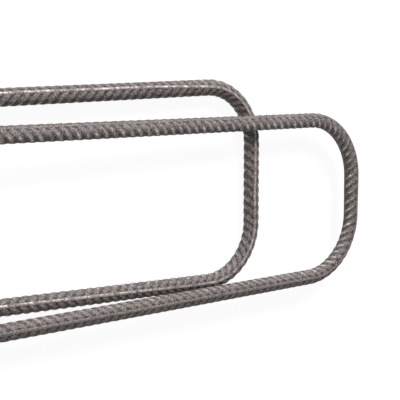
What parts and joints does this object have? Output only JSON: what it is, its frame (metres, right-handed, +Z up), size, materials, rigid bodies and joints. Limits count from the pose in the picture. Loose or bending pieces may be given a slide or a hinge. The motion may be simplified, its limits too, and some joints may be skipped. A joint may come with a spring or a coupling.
{
  "type": "rebar stirrup bundle",
  "caption": "Bundle of long narrow closed stirrups bent from ribbed reinforcing bar, lying flat one on another, with hooked ends",
  "frame": {"origin": "on the floor, under the middle of the bundle's box", "axes": "+Z up from the floor; +X along the long sides, towards the plain short sides and away from the hooks; +Y across, towards the long side of the lower stirrup that has no hook"},
  "size_m": [0.542, 0.1494, 0.0326],
  "materials": {
    "ribbed_steel_lower": "hot-rolled, with dull grey scale",
    "ribbed_steel_upper": "hot-rolled, with dull grey scale"
  },
  "bodies": {
    "root": {"stirrup_lower": "ribbed_steel_lower", "stirrup_upper": "ribbed_steel_upper"}
  },
  "joints": []
}
